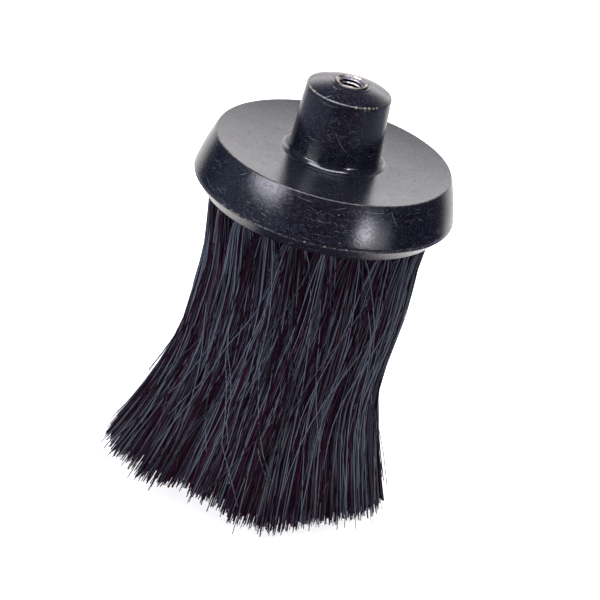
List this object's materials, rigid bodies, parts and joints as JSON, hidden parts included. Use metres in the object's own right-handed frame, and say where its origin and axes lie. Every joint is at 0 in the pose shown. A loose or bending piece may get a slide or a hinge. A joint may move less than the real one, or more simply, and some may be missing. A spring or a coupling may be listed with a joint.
{
  "type": "brush head",
  "caption": "Round screw-on brush head with a glossy black moulded back, a tall boss with a threaded metal insert, and a deep flared bundle of stiff black bristle tufts.",
  "frame": {"origin": "mouth of the handle thread, on its axis, level with the seat of the insert's lip", "axes": "+Z along the thread's axis, out of the boss; the bristles point to -Z; +X to the right of the pictured view and +Y away from it"},
  "size_m": [0.0931, 0.0922, 0.1363],
  "materials": {
    "cover": "gloss",
    "board": "gloss",
    "insert_steel": "satin",
    "anchor_wire": "satin",
    "bristle": "satin"
  },
  "bodies": {
    "root": {"back_cover": "cover", "bristle_board": "board", "threaded_insert": "insert_steel", "tuft_anchors": "anchor_wire", "tuft_ring1_01": "bristle", "tuft_ring1_02": "bristle", "tuft_ring1_03": "bristle", "tuft_ring1_04": "bristle", "tuft_ring1_05": "bristle", "tuft_ring1_06": "bristle", "tuft_ring1_07": "bristle", "tuft_ring1_08": "bristle", "tuft_ring1_09": "bristle", "tuft_ring1_10": "bristle", "tuft_ring1_11": "bristle", "tuft_ring1_12": "bristle", "tuft_ring1_13": "bristle", "tuft_ring1_14": "bristle", "tuft_ring1_15": "bristle", "tuft_ring1_16": "bristle", "tuft_ring1_17": "bristle", "tuft_ring1_18": "bristle", "tuft_ring1_19": "bristle", "tuft_ring1_20": "bristle", "tuft_ring1_21": "bristle", "tuft_ring1_22": "bristle", "tuft_ring2_01": "bristle", "tuft_ring2_02": "bristle", "tuft_ring2_03": "bristle", "tuft_ring2_04": "bristle", "tuft_ring2_05": "bristle", "tuft_ring2_06": "bristle", "tuft_ring2_07": "bristle", "tuft_ring2_08": "bristle", "tuft_ring2_09": "bristle", "tuft_ring2_10": "bristle", "tuft_ring2_11": "bristle", "tuft_ring2_12": "bristle", "tuft_ring2_13": "bristle", "tuft_ring2_14": "bristle", "tuft_ring2_15": "bristle", "tuft_ring2_16": "bristle", "tuft_ring3_01": "bristle", "tuft_ring3_02": "bristle", "tuft_ring3_03": "bristle", "tuft_ring3_04": "bristle", "tuft_ring3_05": "bristle", "tuft_ring3_06": "bristle", "tuft_ring3_07": "bristle", "tuft_ring3_08": "bristle", "tuft_ring3_09": "bristle", "tuft_ring3_10": "bristle", "tuft_ring3_11": "bristle", "tuft_ring4_01": "bristle", "tuft_ring4_02": "bristle", "tuft_ring4_03": "bristle", "tuft_ring4_04": "bristle", "tuft_ring4_05": "bristle", "tuft_centre": "bristle"}
  },
  "joints": []
}
